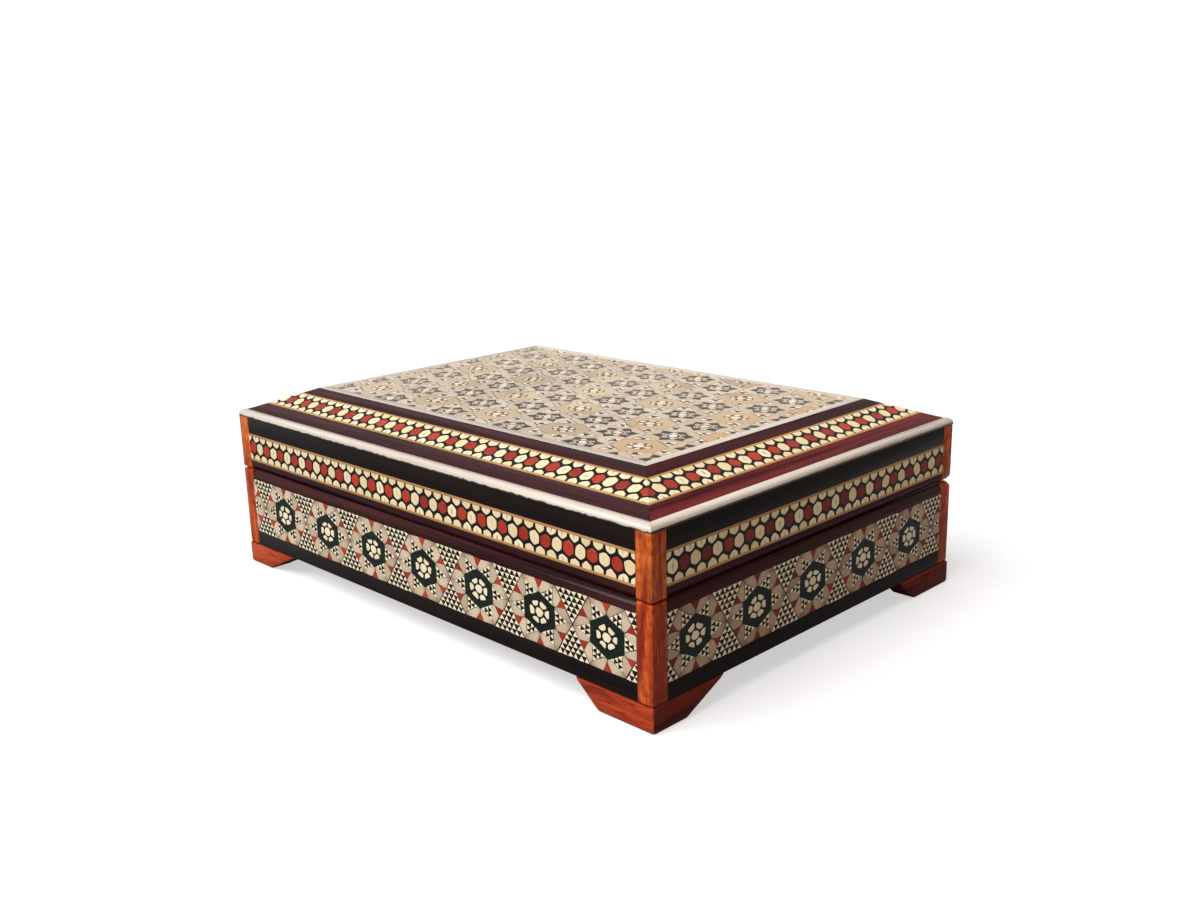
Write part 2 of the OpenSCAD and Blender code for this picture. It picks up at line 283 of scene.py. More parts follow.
def finished_copy(old_node, body, round_edge, material, suffix="wood"):
    """A copy of a CAD node with softly rounded edges and one finish."""
    name = f"{old_node}_{suffix}"
    mesh = bmesh.new()
    mesh.from_mesh(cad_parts[old_node].data)
    bmesh.ops.remove_doubles(mesh, verts=mesh.verts, dist=1e-7)
    bmesh.ops.dissolve_limit(
        mesh, angle_limit=math.radians(0.5), verts=mesh.verts, edges=mesh.edges
    )
    result = bpy.data.meshes.new(name)
    mesh.to_mesh(result)
    mesh.free()
    result.materials.append(material)
    for face in result.polygons:
        face.use_smooth = True
    piece = new_piece(name, result, body, old_node)
    bevel = piece.modifiers.new("soft_edges", "BEVEL")
    bevel.width = round_edge
    bevel.segments = 2
    bevel.limit_method = "ANGLE"
    bevel.angle_limit = math.radians(25)
    bevel.harden_normals = True
    return piece


for carcass_node in (
    "base_floor", "base_wall_front", "base_wall_right", "base_wall_back", "base_wall_left",
    "lid_wall_front", "lid_wall_right", "lid_wall_back", "lid_wall_left",
    "lid_bevel_rails", "lid_top_board",
):
    finish_node(carcass_node, beech)

# Rosewood rims and bands --------------------
# Two rims of rosewood close the base and the lid, with a sloped outer edge that makes
# the parting groove. Bands of the same wood edge the bevel. All are mitred and glued.
ROSEWOOD = {"band_scale": 420, "stretch": 0.03, "lacquer": 0.4}
rosewood_x, rosewood_y, rosewood_red = [
    wood(f"rosewood_{name}", dark, light, axis, **ROSEWOOD)
    for name, dark, light, axis in (
        ("along_x", (0.019, 0.006, 0.007), (0.060, 0.016, 0.018), "X"),
        ("along_y", (0.020, 0.006, 0.008), (0.060, 0.016, 0.019), "Y"),
        ("red_streak", (0.034, 0.006, 0.008), (0.170, 0.022, 0.024), "Y"),
    )
]
for side, along_side in (
    ("front", rosewood_x), ("back", rosewood_x), ("right", rosewood_y), ("left", rosewood_y)
):
    for half in ("base", "lid"):
        finished_copy(f"{half}_rim_{side}", half, 0.00012, along_side)


def finished_frame(old_node, body, round_edge, along_x, along_y, suffix="wood"):
    """A finished copy of a frame of mitred strips, each with the grain that runs along it."""
    piece = finished_copy(old_node, body, round_edge, along_x, suffix)
    mesh = piece.data
    mesh.materials.append(along_y)
    half_w = max(abs(v.co.x) for v in mesh.vertices)
    half_d = max(abs(v.co.y) for v in mesh.vertices)
    for face in mesh.polygons:
        to_end = half_w - abs(face.center.x)
        to_front = half_d - abs(face.center.y)
        face.material_index = 0 if to_front < to_end else 1
    return piece


for band_node, end_wood in (
    ("lid_bevel_lower_bands", rosewood_red), ("lid_bevel_upper_bands", rosewood_y)
):
    finished_frame(band_node, "lid", 0.00006, rosewood_x, end_wood)

# Black bands --------------------
# Strips of black-stained wood, let in between the corner posts: one above the feet and
# one under the lid's white edge.
ebony_x, ebony_y = wood_pair(
    "black_wood", (0.005, 0.003, 0.003), (0.012, 0.007, 0.006),
    band_scale=500, stretch=0.03, pore_depth=0.2, lacquer=0.55,
)
for band_node, body in (("base_bottom_bands", "base"), ("lid_black_bands", "lid")):
    finished_frame(band_node, body, 0.00008, ebony_x, ebony_y)

# Light lines --------------------
# Thin lines of light wood run above and below each small mosaic.
lime_x, lime_y = wood_pair(
    "light_wood", (0.36, 0.18, 0.065), (0.50, 0.28, 0.105),
    band_scale=500, stretch=0.04, pore_depth=0.3,
)
for line_node in ("lid_side_lines", "lid_bevel_lines"):
    finished_frame(line_node, "lid", 0.00005, lime_x, lime_y)

# White stringing --------------------
# Pale stringing, rounded over along the lid's edge and flat round the top panel. Stain
# from the black band below has run up onto the lid's edge, more on its ends.


def stained_upward(material, from_z, reach, raggedness):
    """Black stain that has crept up from a height, about as far as reach, in uneven runs."""
    tree = material.node_tree
    shader = tree.nodes["Principled BSDF"]
    clean = shader.inputs["Base Color"].links[0].from_socket
    place = object_place(tree)
    height = node(tree, "ShaderNodeSeparateXYZ", {0: place}).outputs["Z"]
    least, most = reach * (1 - raggedness), reach * (1 + raggedness)
    runs = ramp(tree, cloud(tree, place, 700.0, 5.0), 0.3, 0.7, least, most)
    above = calculated(tree, "SUBTRACT", height, runs)
    stain = ramp(tree, above, from_z, from_z + 0.00022, 0.95, 0.0)
    fill(tree, shader, {"Base Color": blend(tree, stain, clean, (0.010, 0.007, 0.006))})


BONE_DARK, BONE_LIGHT = (0.54, 0.47, 0.39), (0.70, 0.63, 0.55)
edge_string_low, edge_string_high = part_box("lid_edge_stringing")
string_h = edge_string_high.z - edge_string_low.z
for string_node in ("lid_edge_stringing", "lid_top_stringing"):
    bone_x, bone_y = wood_pair(
        string_node, BONE_DARK, BONE_LIGHT, band_scale=350, stretch=0.05, pore_depth=0.1
    )
    if string_node == "lid_edge_stringing":
        stained_upward(bone_x, edge_string_low.z, 0.12 * string_h, 0.8)
        stained_upward(bone_y, edge_string_low.z, 0.24 * string_h, 0.12)
    finished_frame(string_node, "lid", 0.00006, bone_x, bone_y, "bone")

# Corner posts --------------------
# Square posts of orange padauk, let into the carcass corners with the grain upright. The
# base's posts come from a redder board than the lid's.
POST_GRAIN = {
    "band_scale": 420, "stretch": 0.12, "pore_depth": 0.8, "lacquer": 0.7, "mottle": 0.6
}
lid_padauk = wood("padauk_orange", (0.24, 0.024, 0.007), (0.80, 0.190, 0.033), "Z", **POST_GRAIN)
base_padauk = wood("padauk_red", (0.24, 0.020, 0.006), (0.74, 0.130, 0.026), "Z", **POST_GRAIN)
CORNERS = ("front_right", "back_right", "back_left", "front_left")
for corner in CORNERS:
    for half, post_wood in (("base", base_padauk), ("lid", lid_padauk)):
        finished_copy(f"{half}_post_{corner}", half, 0.0004, post_wood)

# Feet --------------------
# Bracket feet of red padauk, each with two slanted arms, glued under the corners. The arms
# along the box's ends, and the flat tops and soles, take a much darker padauk: painted shade
# on the ends, which face away from the light, and a painted shadow on the tops under the black
# band.
FOOT_GRAIN = {"band_scale": 420, "stretch": 0.06, "pore_depth": 0.8}
foot_x, shaded_foot_y = [
    wood(f"padauk_foot_along_{axis.lower()}", dark, light, axis, lacquer=lacquer, **FOOT_GRAIN)
    for axis, dark, light, lacquer in (
        ("X", (0.17, 0.016, 0.006), (0.56, 0.072, 0.018), 0.7),
        ("Y", (0.06, 0.008, 0.005), (0.19, 0.022, 0.010), 0.5),
    )
]
for corner in CORNERS:
    foot = finished_frame(f"foot_{corner}", "base", 0.0007, foot_x, shaded_foot_y)
    # The tops and soles take the darker wood: a painted shadow under the black band.
    for face in foot.data.polygons:
        if abs(face.normal.z) > 0.9:
            face.material_index = 1

# Tesserae --------------------
# The mosaics are sawn from glued bundles of coloured rods, so each is a thin sheet of end
# grain. A sheet is drawn here as one repeat: every tessera stands a hair above the dark
# ground between them, with a sloped edge.


def turned(points, angle):
    """The points turned about the origin."""
    c, s = math.cos(angle), math.sin(angle)
    return [(x * c - y * s, x * s + y * c) for x, y in points]


def leftward(outline):
    """The outline, in the order that keeps its inside on the left."""
    area = sum(a[0] * b[1] - b[0] * a[1] for a, b in zip(outline, outline[1:] + outline[:1]))
    return outline if area > 0 else outline[::-1]


def inset(outline, width):
    """An outline moved inward by width, or None where nothing is left of it."""
    outline = leftward(outline)
    lines = []
    for a, b in zip(outline, outline[1:] + outline[:1]):
        dx, dy = b[0] - a[0], b[1] - a[1]
        length = math.hypot(dx, dy)
        lines.append((-dy / length, dx / length, a))
    moved = []
    for (ax, ay, a), (bx, by, b) in zip(lines[-1:] + lines[:-1], lines):
        ca = ax * a[0] + ay * a[1] + width
        cb = bx * b[0] + by * b[1] + width
        cross = ax * by - bx * ay
        if abs(cross) < 1e-6:
            moved.append((b[0] + bx * width, b[1] + by * width))
        else:
            moved.append(((ca * by - cb * ay) / cross, (ax * cb - bx * ca) / cross))
    for a, b, c, d in zip(outline, outline[1:] + outline[:1], moved, moved[1:] + moved[:1]):
        if (b[0] - a[0]) * (d[0] - c[0]) + (b[1] - a[1]) * (d[1] - c[1]) <= 0:
            return None
    return moved


def rounded(corners, share):
    """A convex outline with each corner cut back by a share of its edges and bowed."""
    result = []
    n = len(corners)
    for i, c in enumerate(corners):
        before, after = corners[i - 1], corners[(i + 1) % n]
        a = tuple(c[k] + (before[k] - c[k]) * share for k in (0, 1))
        b = tuple(c[k] + (after[k] - c[k]) * share for k in (0, 1))
        middle = tuple(0.25 * a[k] + 0.5 * c[k] + 0.25 * b[k] for k in (0, 1))
        result += [a, middle, b]
    return result


def hexagon(radius, first_angle=math.pi / 2):
    """The corners of a regular hexagon."""
    angles = [first_angle + k * math.pi / 3 for k in range(6)]
    return [(radius * math.cos(a), radius * math.sin(a)) for a in angles]


# Sheets are drawn in millimetres. Points this far past a sheet's edge are left out.
MM = 0.001
SHEET_REACH = 4
TESSERA_RISE = 0.05
TESSERA_SLOPE = 0.07
LAYERS = ("top", "edge", "ground")


def sheet_mesh(name, tesserae, low, high, grounds=()):
    """One repeat of a mosaic, in millimetres, between two corners.

    tesserae are (outline, kind) pairs, and grounds are flat areas of the ground with a
    kind of their own. Each face keeps its kind and the middle of its tessera.
    """
    points = [(low[0], low[1]), (high[0], low[1]), (high[0], high[1]), (low[0], high[1])]
    faces, owners = [[0, 1, 2, 3]], [None]

    def add(outline, owner):
        faces.append(list(range(len(points), len(points) + len(outline))))
        points.extend(leftward(outline))
        owners.append(owner)

    for outline, kind in grounds:
        add(outline, ("ground", kind, (0, 0)))
    for outline, kind in tesserae:
        top = inset(outline, TESSERA_SLOPE)
        if top is None:
            continue
        middle = tuple(sum(p[k] for p in outline) / len(outline) for k in (0, 1))
        if not all(low[k] - SHEET_REACH < middle[k] < high[k] + SHEET_REACH for k in (0, 1)):
            continue
        add(outline, ("edge", kind, middle))
        add(top, ("top", kind, middle))
    verts, _, out_faces, _, _, origin = delaunay_2d_cdt(
        [Vector(p) for p in points], [], faces, 1, 1e-5
    )
    raised = set()
    kept = []
    for face, owned in zip(out_faces, origin):
        if 0 not in owned:
            continue
        marks = [owners[i] for i in sorted(owned, reverse=True) if i > 0]
        mark = min(marks, key=lambda m: LAYERS.index(m[0]), default=("ground", 0, (0, 0)))
        if mark[0] == "top":
            raised.update(face)
        kept.append((face, mark))
    mesh = bpy.data.meshes.new(name)
    heights = [TESSERA_RISE * MM if i in raised else 0 for i in range(len(verts))]
    corners = [(v.x * MM, v.y * MM, z) for v, z in zip(verts, heights)]
    mesh.from_pydata(corners, [], [face for face, _ in kept])
    kinds = mesh.attributes.new("kind", "FLOAT", "FACE")
    middles = mesh.attributes.new("middle", "FLOAT_VECTOR", "FACE")
    for i, (_, mark) in enumerate(kept):
        kinds.data[i].value = mark[1]
        middles.data[i].vector = (mark[2][0] * MM, mark[2][1] * MM, 0)
    return mesh


def stored(tree, name, data_type="FLOAT_VECTOR"):
    """An attribute of a sheet."""
    inputs = {"Name": name}
    return node(tree, "GeometryNodeInputNamedAttribute", inputs, data_type=data_type).outputs[0]


def kept_as(tree, geometry, name, value, domain):
    """The geometry with a vector kept as an attribute."""
    inputs = {"Geometry": geometry, "Name": name, "Value": value}
    settings = {"data_type": "FLOAT_VECTOR", "domain": domain}
    return node(tree, "GeometryNodeStoreNamedAttribute", inputs, **settings).outputs[0]


def repeat_tree(kinds):
    """Repeats a sheet's unit over rows and columns, joins the repeats, lets the tesserae
    wander a little as hand-made rods do, and gives each kind its material."""
    tree = bpy.data.node_groups.new("mosaic_repeat", "GeometryNodeTree")
    socket(tree, "Geometry", "NodeSocketGeometry")
    socket(tree, "Unit", "NodeSocketObject")
    for name in ("Columns", "Rows"):
        socket(tree, name, "NodeSocketInt", 1)
    for name in ("Pitch", "Start"):
        socket(tree, name, "NodeSocketVector")
    for name, default in (("Wander", 0.0), ("Wander Size", 300.0), ("Seed", 0.0)):
        socket(tree, name, "NodeSocketFloat", default)
    for kind in kinds:
        socket(tree, f"Material {kind}", "NodeSocketMaterial")
    socket(tree, "Geometry", "NodeSocketGeometry", output=True)
    into = tree.nodes.new("NodeGroupInput").outputs
    end = tree.nodes.new("NodeGroupOutput")

    # One point for each repeat, row after row, and the unit on every point.
    count = calculated(tree, "MULTIPLY", into["Columns"], into["Rows"])
    line = node(tree, "GeometryNodeMeshLine", {"Count": count}).outputs[0]
    index = tree.nodes.new("GeometryNodeInputIndex").outputs[0]
    column = calculated(tree, "MODULO", index, into["Columns"])
    row = calculated(tree, "FLOOR", calculated(tree, "DIVIDE", index, into["Columns"]))
    cell = node(tree, "ShaderNodeCombineXYZ", {0: column, 1: row}).outputs[0]
    place = vectors(tree, "MULTIPLY_ADD", cell, into["Pitch"], into["Start"])
    placed = node(tree, "GeometryNodeSetPosition", {"Geometry": line, "Position": place})
    unit = node(tree, "GeometryNodeObjectInfo", {"Object": into["Unit"]})
    inputs = {"Points": placed.outputs[0], "Instance": unit.outputs["Geometry"]}
    repeats = node(tree, "GeometryNodeInstanceOnPoints", inputs)

    # Each face keeps the middle of its tessera, and each point its place on the sheet.
    noted = kept_as(tree, repeats.outputs[0], "repeat_place", place, "INSTANCE")
    real = node(tree, "GeometryNodeRealizeInstances", {"Geometry": noted}).outputs[0]
    middle = vectors(tree, "ADD", stored(tree, "middle"), stored(tree, "repeat_place"))
    centred = kept_as(tree, real, "middle", middle, "FACE")
    merged = node(tree, "GeometryNodeMergeByDistance", {"Geometry": centred, "Distance": 2e-6})
    position = tree.nodes.new("GeometryNodeInputPosition").outputs[0]
    sheet = kept_as(tree, merged.outputs[0], "sheet", position, "POINT")

    # The points wander in the sheet's plane.
    inputs = {"Vector": position, "W": into["Seed"], "Scale": into["Wander Size"], "Detail": 1.0}
    noise = node(tree, "ShaderNodeTexNoise", inputs, noise_dimensions="4D")
    shift = vectors(tree, "SUBTRACT", noise.outputs["Color"], (0.5, 0.5, 0.5))
    flat = node(tree, "ShaderNodeCombineXYZ", {0: into["Wander"], 1: into["Wander"], 2: 0.0})
    wander = vectors(tree, "MULTIPLY", shift, flat.outputs[0])
    shape = node(tree, "GeometryNodeSetPosition", {"Geometry": sheet, "Offset": wander})

    geometry = shape.outputs[0]
    kind_of_face = stored(tree, "kind", "FLOAT")
    for number, kind in enumerate(kinds):
        inputs = {0: kind_of_face, 1: float(number), "Epsilon": 0.1}
        chosen = node(tree, "FunctionNodeCompare", inputs, operation="EQUAL").outputs[0]
        inputs = {"Geometry": geometry, "Selection": chosen, "Material": into[f"Material {kind}"]}
        geometry = node(tree, "GeometryNodeSetMaterial", inputs).outputs[0]
    tree.links.new(geometry, end.inputs["Geometry"])
    return tree


def mosaic_sheet(name, tree, unit_mesh, materials, columns, rows, pitch, start, wander, seed):
    """The repeated sheet as a plain mesh, flat, with its front towards +Z."""
    unit = new_object(f"{name}_unit", unit_mesh)
    maker = new_object(name, bpy.data.meshes.new(name))
    modifier = maker.modifiers.new("repeat", "NODES")
    modifier.node_group = tree
    values = {
        "Unit": unit, "Columns": columns, "Rows": rows, "Pitch": (*pitch, 0),
        "Start": (*start, 0), "Wander": wander, "Wander Size": 420.0, "Seed": seed,
    }
    values.update({f"Material {kind}": material for kind, material in materials.items()})
    for item in tree.interface.items_tree:
        if item.in_out == "INPUT" and item.name in values:
            modifier[item.identifier] = values[item.name]
    seen = maker.evaluated_get(bpy.context.evaluated_depsgraph_get())
    mesh = bpy.data.meshes.new_from_object(seen)
    bpy.data.objects.remove(maker)
    bpy.data.objects.remove(unit)
    return mesh


def laid_sheet(name, parts, body, old_node, thickness):
    """Joins placed sheets into one piece. A part is a mesh, its place, and the planes that
    trim it, each as a point and the outward direction of what is cut off."""
    whole = bmesh.new()
    for mesh, place, planes in parts:
        part = bmesh.new()
        part.from_mesh(mesh)
        bmesh.ops.transform(part, matrix=place, verts=part.verts)
        for point, outward in planes:
            everything = part.verts[:] + part.edges[:] + part.faces[:]
            bmesh.ops.bisect_plane(
                part, geom=everything, plane_co=point, plane_no=outward, dist=1e-7, clear_outer=True
            )
        border = [e for e in part.edges if e.is_boundary]
        down = place.to_3x3() @ Vector((0, 0, -thickness))
        walls = bmesh.ops.extrude_edge_only(part, edges=border)["geom"]
        lower = [g for g in walls if isinstance(g, bmesh.types.BMVert)]
        bmesh.ops.translate(part, verts=lower, vec=down)
        rim = [e for e in part.edges if e.is_boundary]
        bmesh.ops.holes_fill(part, edges=rim, sides=0)
        bmesh.ops.recalc_face_normals(part, faces=part.faces)
        joined = bpy.data.meshes.new("part")
        part.to_mesh(joined)
        part.free()
        whole.from_mesh(joined)
    result = bpy.data.meshes.new(name)
    whole.to_mesh(result)
    whole.free()
    materials = list(parts[0][0].materials)
    for face in result.polygons:
        material = materials[face.material_index] or materials[1]
        face.material_index = materials.index(material) - 1
    for material in materials[1:]:
        result.materials.append(material)
    new_piece(name, result, body, old_node)


def end_grain_group():
    """Masks for one tessera: its own shade, fine specks, a cracked heart and its far edge."""
    group = bpy.data.node_groups.new("end_grain", "ShaderNodeTree")
    for name in ("Place", "Sheet", "Middle"):
        socket(group, name, "NodeSocketVector")
    into = group.nodes.new("NodeGroupInput").outputs
    sheet, middle = into["Sheet"], into["Middle"]

    # The middle is snapped to a tenth of a millimetre, so that a tessera has one shade.
    snapped = vectors(group, "SNAP", middle, (0.0001, 0.0001, 0.0001))
    spread = node(group, "ShaderNodeVectorMath", {0: snapped, "Scale": 977.0}, operation="SCALE")
    inputs = {"Vector": spread.outputs[0]}
    chance = node(
        group, "ShaderNodeTexWhiteNoise", inputs, noise_dimensions="3D"
    ).outputs["Value"]
    crack_shape = (1.0, 0.35, 1.0)
    from_crack = vectors(
        group,
        "DISTANCE",
        vectors(group, "MULTIPLY", sheet, crack_shape),
        vectors(group, "MULTIPLY", middle, crack_shape),
    )
    in_crack = ramp(group, from_crack, 0.00005, 0.0004, 1.0, 0.0)
    is_cracked = ramp(group, chance, 0.3, 0.9)
    from_middle = vectors(group, "DISTANCE", sheet, middle)
    give_out(
        group,
        Shade=chance,
        Specks=ramp(group, cloud(group, into["Place"], 2600.0, 3.0), 0.5, 0.75),
        Heart=calculated(group, "MULTIPLY", in_crack, is_cracked),
        Edge=ramp(group, from_middle, 0.0010, 0.0028),
    )
    return group


end_grain = end_grain_group()


def tessera(
    name, dark, light, speck=0.3, heart=0.0, stain=None, glare_free_colour=None,
    toward=(1, 0, 0), glare_fade=(0.045, 0.078), glare_free_share=0.7, polish=(1.33, 0.12),
):
    """One rod wood or bone seen on end. The stain is dye that has crept in from the edge. A colour
    given for the near end is laid on towards the end that the sheet looks toward; elsewhere the
    paler colours stay as painted glare, the bright room reflected in the lacquer."""
    material, tree, shader = new_surface(name)
    place = object_place(tree)
    sheet, middle = [
        node(tree, "ShaderNodeAttribute", attribute_name=attribute).outputs["Vector"]
        for attribute in ("sheet", "middle")
    ]
    inputs = {"Place": place, "Sheet": sheet, "Middle": middle}
    masks = node(tree, "ShaderNodeGroup", inputs, node_tree=end_grain).outputs
    colour = blend(tree, masks["Shade"], dark, light)
    colour = laid_over(tree, colour, [c * 0.4 for c in dark], masks["Specks"], speck)
    if heart > 0:
        colour = laid_over(tree, colour, (0.30, 0.17, 0.06), masks["Heart"], heart)
    if stain:
        colour = laid_over(tree, colour, stain, masks["Edge"], 0.6)
    # Painted glare: the given colour is laid on only near the end that the sheet looks toward.
    if glare_free_colour:
        ahead = vectors(tree, "DOT_PRODUCT", place, toward)
        ragged = calculated(tree, "MULTIPLY_ADD", cloud(tree, place, 60.0), 0.04, ahead)
        colour = laid_over(tree, colour, glare_free_colour, ramp(tree, ragged, *glare_fade), glare_free_share)
    fill(tree, shader, {
        "Base Color": colour,
        "Roughness": 0.3,
        "Specular IOR Level": 0.0,
        "Coat Weight": 0.8,
        "Coat IOR": polish[0],
        "Coat Roughness": polish[1],
    })
    return material


black_ground = tessera("black_ground", (0.007, 0.005, 0.005), (0.010, 0.007, 0.007))
cream_bone = tessera("cream_bone", (0.76, 0.61, 0.34), (0.90, 0.79, 0.52), 0.15, 0.9)
cream_plain = tessera("cream_plain", (0.80, 0.69, 0.46), (0.88, 0.80, 0.58), 0.1)
red_wood = tessera("red_wood", (0.29, 0.024, 0.014), (0.50, 0.046, 0.022), 0.35)
kite_wood = tessera(
    "kite_wood", (0.48, 0.375, 0.26), (0.70, 0.57, 0.42), 0.25, stain=(0.24, 0.12, 0.07)
)
ring_wood = tessera("ring_wood", (0.004, 0.009, 0.007), (0.008, 0.015, 0.012), 0.1)

# Small hexagon mosaic --------------------
# A row of red hexagons, each ringed by six cream ones that it shares with its neighbours,
# on black. The outer cream ones are sawn in half by the strip's edges. It runs along the
# lid's sides and round the bevel.
HEX_PITCH = 6.75
HEX_KINDS = ("ground", "cream", "red")
HEX_GAP = 0.25
CORNER_SHARE = 0.25

# The outer hexagons are a little smaller, and stand a little nearer, than a true net has them.
OUTER_SIZE = 0.93
OUTER_PLACE = 0.9
hex_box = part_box("lid_mosaic_front")
hex_height = (hex_box[1].z - hex_box[0].z) / MM
hex_margin = 0.4
hex_spacing = HEX_PITCH / 2
hex_radius = (hex_spacing / 2 - HEX_GAP) / math.cos(math.pi / 6)
hex_tesserae = []
for k in range(-2, 5):
    in_row = [(x + k * hex_spacing, y) for x, y in rounded(hexagon(hex_radius), CORNER_SHARE)]
    hex_tesserae.append((in_row, HEX_KINDS.index("cream" if k % 2 else "red")))
    for row in (-1, 1):
        outer = [
            (x + (k + 0.5) * hex_spacing, y + row * hex_spacing * OUTER_PLACE)
            for x, y in rounded(hexagon(hex_radius * OUTER_SIZE), CORNER_SHARE)
        ]
        hex_tesserae.append((outer, HEX_KINDS.index("cream")))
hex_unit = sheet_mesh(
    "hexagon_unit",
    hex_tesserae,
    (-0.25 * HEX_PITCH, -hex_height / 2 - hex_margin),
    (0.75 * HEX_PITCH, hex_height / 2 + hex_margin),
)
hex_net = (repeat_tree(HEX_KINDS), hex_unit, HEX_PITCH)
hex_materials = {"ground": black_ground, "cream": cream_bone, "red": red_wood}
# A darker copy of the red wood for the box's two ends: painted shade on the end that faces away
# from the light.
shaded_end_red_wood = tessera("shaded_end_red_wood", (0.14, 0.016, 0.012), (0.26, 0.026, 0.018), 0.35)
hex_shaded_end_materials = {**hex_materials, "red": shaded_end_red_wood}

# Half the box's width and depth, and the sheets' thickness, a hair less than their room.
half_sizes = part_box("base_bottom_bands")[1][:2]
panel_low, panel_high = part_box("lid_top_mosaic")
sheet_t = panel_high.z - panel_low.z - 0.0001
sunk = Matrix.Translation((0, 0, -TESSERA_RISE * MM))
STRIP_WANDER = 0.0009


def side_turn(side):
    """A turn about the vertical that brings the front to side 0, 1, 2 or 3."""
    return Matrix.Rotation(math.radians(90 * side), 4, "Z")


def strip_of(name, net, materials, length, phase, seed):
    """A strip of at least this length, centred, with a repeat phase millimetres off centre.
    The net is a repeat tree, its unit and its pitch."""
    tree, unit, pitch = net
    columns = math.ceil(length / MM / pitch) + 2
    start = ((phase - columns // 2 * pitch) * MM, 0)
    return mosaic_sheet(
        name, tree, unit, materials, columns, 1, (pitch * MM, 0), start, STRIP_WANDER, seed
    )


def trims(low, high, axes):
    """The planes that cut a sheet to a box along the axes given."""
    planes = []
    for axis in axes:
        outward = Vector((axis == "X", axis == "Y", axis == "Z"))
        planes += [(high, outward), (low, -outward)]
    return planes


def side_mosaics(half, net, materials, shaded_end_materials, phases, seed):
    """Stands a strip on each side of one half of the box, in the place of its CAD mosaic."""
    for side, side_name in enumerate(("front", "right", "back", "left")):
        old_node = f"{half}_mosaic_{side_name}"
        low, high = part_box(old_node)
        # The ends take the darker copies of the woods, as painted shade.
        woods = shaded_end_materials if side % 2 else materials
        length = 2 * high[side % 2]
        strip = strip_of(f"{old_node}_strip", net, woods, length, phases[side], seed + side)
        place = (
            side_turn(side)
            @ Matrix.Translation((0, -half_sizes[(side + 1) % 2], (low.z + high.z) / 2))
            @ Matrix.Rotation(math.pi / 2, 4, "X")
            @ sunk
        )
        planes = trims(low, high, "YZ" if side % 2 else "XZ")
        parts = [(strip, place, planes)]
        laid_sheet(f"{old_node}_tesserae", parts, half, old_node, sheet_t)


side_phases = [share * HEX_PITCH for share in (-0.237, 0.244, 0.3, 0.5)]
side_mosaics(
    "lid", hex_net, hex_materials, hex_shaded_end_materials, side_phases, 3.0
)

# The bevel's strips lie along its slope and meet in mitres, a hair apart.
bevel_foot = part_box("lid_bevel_lower_bands")[1].x
bevel_run = bevel_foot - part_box("lid_top_board")[1].x
slope = math.atan2(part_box("lid_bevel_upper_bands")[1].z - edge_string_high.z, bevel_run)
half_strip = hex_height * MM / 2
strip_middle = (bevel_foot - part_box("lid_bevel_mosaics")[1].x) / math.cos(slope) + half_strip
inward = half_sizes[0] - bevel_foot + strip_middle * math.cos(slope)
middle_z = edge_string_high.z + strip_middle * math.sin(slope)
STRIP_TRIM = 0.00001
MITRE_TRIM = 0.00002
BEVEL_PHASES = (0.74, 0.185, 0.3, 0.62)
bevel_parts = []
for side, phase in enumerate(BEVEL_PHASES):
    half_l, out = half_sizes[side % 2], half_sizes[(side + 1) % 2]
    strip = strip_of(
        f"bevel_strip_{side}", hex_net, hex_materials, 2 * half_l, phase * HEX_PITCH, 11.0 + side
    )
    place = (
        side_turn(side)
        @ Matrix.Translation((0, inward - out, middle_z))
        @ Matrix.Rotation(slope, 4, "X")
        @ sunk
    )
    turn = side_turn(side).to_3x3()
    up_slope = turn @ Vector((0, math.cos(slope), math.sin(slope)))
    middle = place @ Vector((0, 0, 0))
    to_edge = up_slope * (half_strip - STRIP_TRIM)
    planes = [(middle + to_edge, up_slope), (middle - to_edge, -up_slope)]
    for end in (1, -1):
        corner = turn @ Vector((end * (half_l - MITRE_TRIM), -out, 0))
        planes.append((corner, turn @ Vector((end, 1, 0)).normalized()))
    bevel_parts.append((strip, place, planes))
laid_sheet(
    "lid_bevel_tesserae", bevel_parts, "lid", "lid_bevel_mosaics", sheet_t
)

# Star mosaic of the base --------------------
# Each tile is a cream flower in a dark hexagonal ring. Six points of cream triangles on
# black run from the ring to the tile's corners, with pale kites between them and a red
# triangle at the middle of each tile side. The gaps between tiles hold larger triangles
# of the same cream and black check. The tiles are a little wider than they are high.
STAR_KINDS = ("ground", "cream", "red", "kite", "ring")
STAR_PITCH = 19.75
SEAM = 0.05


def drawing(kinds, side, squash, place):
    """Two lists, of tesserae and of grounds, and the two functions that add to them. Points
    are given in tile sides from the middle of a tile at place."""
    tesserae, grounds = [], []

    def placed(points):
        return [(place[0] + x * side, place[1] + y * side * squash) for x, y in points]

    def add(points, kind, gap=SEAM):
        outline = inset(placed(points), gap)
        if outline:
            tesserae.append((outline, kinds.index(kind)))

    def lay(points, kind):
        grounds.append((placed(points), kinds.index(kind)))

    return tesserae, grounds, add, lay


def check(corner_a, corner_b, apex, rows):
    """Triangles in rows between a base edge and an apex, fewer towards the apex."""

    def at(u, v):
        return tuple(
            corner_a[k] + (corner_b[k] - corner_a[k]) * u + (apex[k] - corner_a[k]) * v
            for k in (0, 1)
        )

    cells = [(i / rows, row / rows) for row in range(rows) for i in range(rows - row)]
    return [[at(u, v), at(u + 1 / rows, v), at(u, v + 1 / rows)] for u, v in cells]


star_low, star_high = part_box("base_mosaic_front")
band_height = (star_high.z - star_low.z) / MM
star_side = STAR_PITCH / 2
star_squash = band_height / (2 * star_side * math.cos(math.pi / 6))


